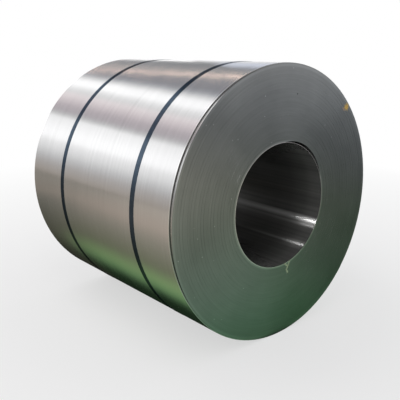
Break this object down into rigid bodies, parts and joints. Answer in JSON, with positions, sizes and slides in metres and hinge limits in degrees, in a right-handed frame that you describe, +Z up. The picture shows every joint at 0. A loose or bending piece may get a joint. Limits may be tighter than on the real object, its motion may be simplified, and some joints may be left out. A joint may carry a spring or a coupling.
{
  "type": "steel coil",
  "caption": "Coil of cold-rolled steel strip lying on its side, with an open bore for a mandrel or lifting hook, held by flat steel straps around its outside.",
  "frame": {"origin": "on the floor below the middle of the coil", "axes": "+Z up, +Y along the coil's axis towards the far end; the end with the skewed outermost turns faces -Y"},
  "size_m": [1.342, 1.25, 1.3418],
  "materials": {
    "strip_steel": "bright cold-rolled",
    "strap_steel": "blue-black, glossy",
    "seal_steel": "dull crimped steel"
  },
  "bodies": {
    "root": {"coil": "strip_steel", "strap_near": "strap_steel", "strap_far": "strap_steel", "seal_near": "seal_steel", "seal_far": "seal_steel"}
  },
  "joints": []
}
